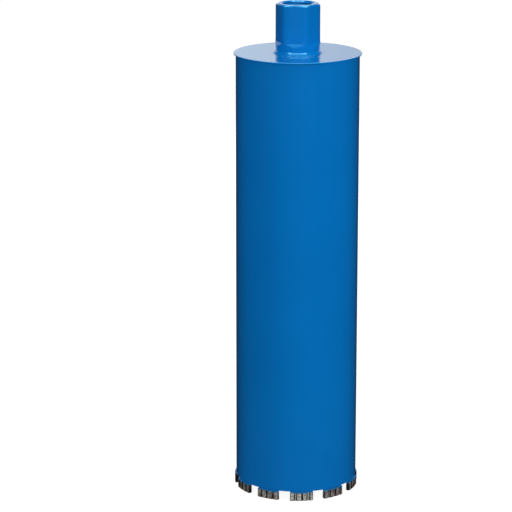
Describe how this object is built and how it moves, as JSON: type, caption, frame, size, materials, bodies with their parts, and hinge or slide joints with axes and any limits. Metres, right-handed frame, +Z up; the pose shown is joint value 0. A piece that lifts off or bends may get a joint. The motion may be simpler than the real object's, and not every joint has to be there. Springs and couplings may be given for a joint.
{
  "type": "diamond core bit",
  "caption": "Tubular core drill bit with a painted steel barrel, a threaded hub with spanner flats, and a rim of grooved diamond segments that cuts round cores in concrete.",
  "frame": {"origin": "on the bit's axis, level with the segments' cutting tips, where the bit stands", "axes": "+Z up the bit's axis from the segments to the hub; -Y towards the front, between the nearest spanner flat and the first segment; +X to the right seen from the front"},
  "size_m": [0.1284, 0.1284, 0.5014],
  "materials": {
    "blue_enamel": "gloss blue enamel sprayed over steel, with bare steel inside the barrel and the threaded bore",
    "sintered_segment": "rough sintered metal matrix with diamond grit, dusted with blue overspray at the root"
  },
  "bodies": {
    "root": {"barrel_tube": "blue_enamel", "top_plate": "blue_enamel", "hub": "blue_enamel", "hub_weld": "blue_enamel", "segment_01": "sintered_segment", "segment_02": "sintered_segment", "segment_03": "sintered_segment", "segment_04": "sintered_segment", "segment_05": "sintered_segment", "segment_06": "sintered_segment", "segment_07": "sintered_segment", "segment_08": "sintered_segment", "segment_09": "sintered_segment", "segment_10": "sintered_segment", "segment_11": "sintered_segment"}
  },
  "joints": []
}
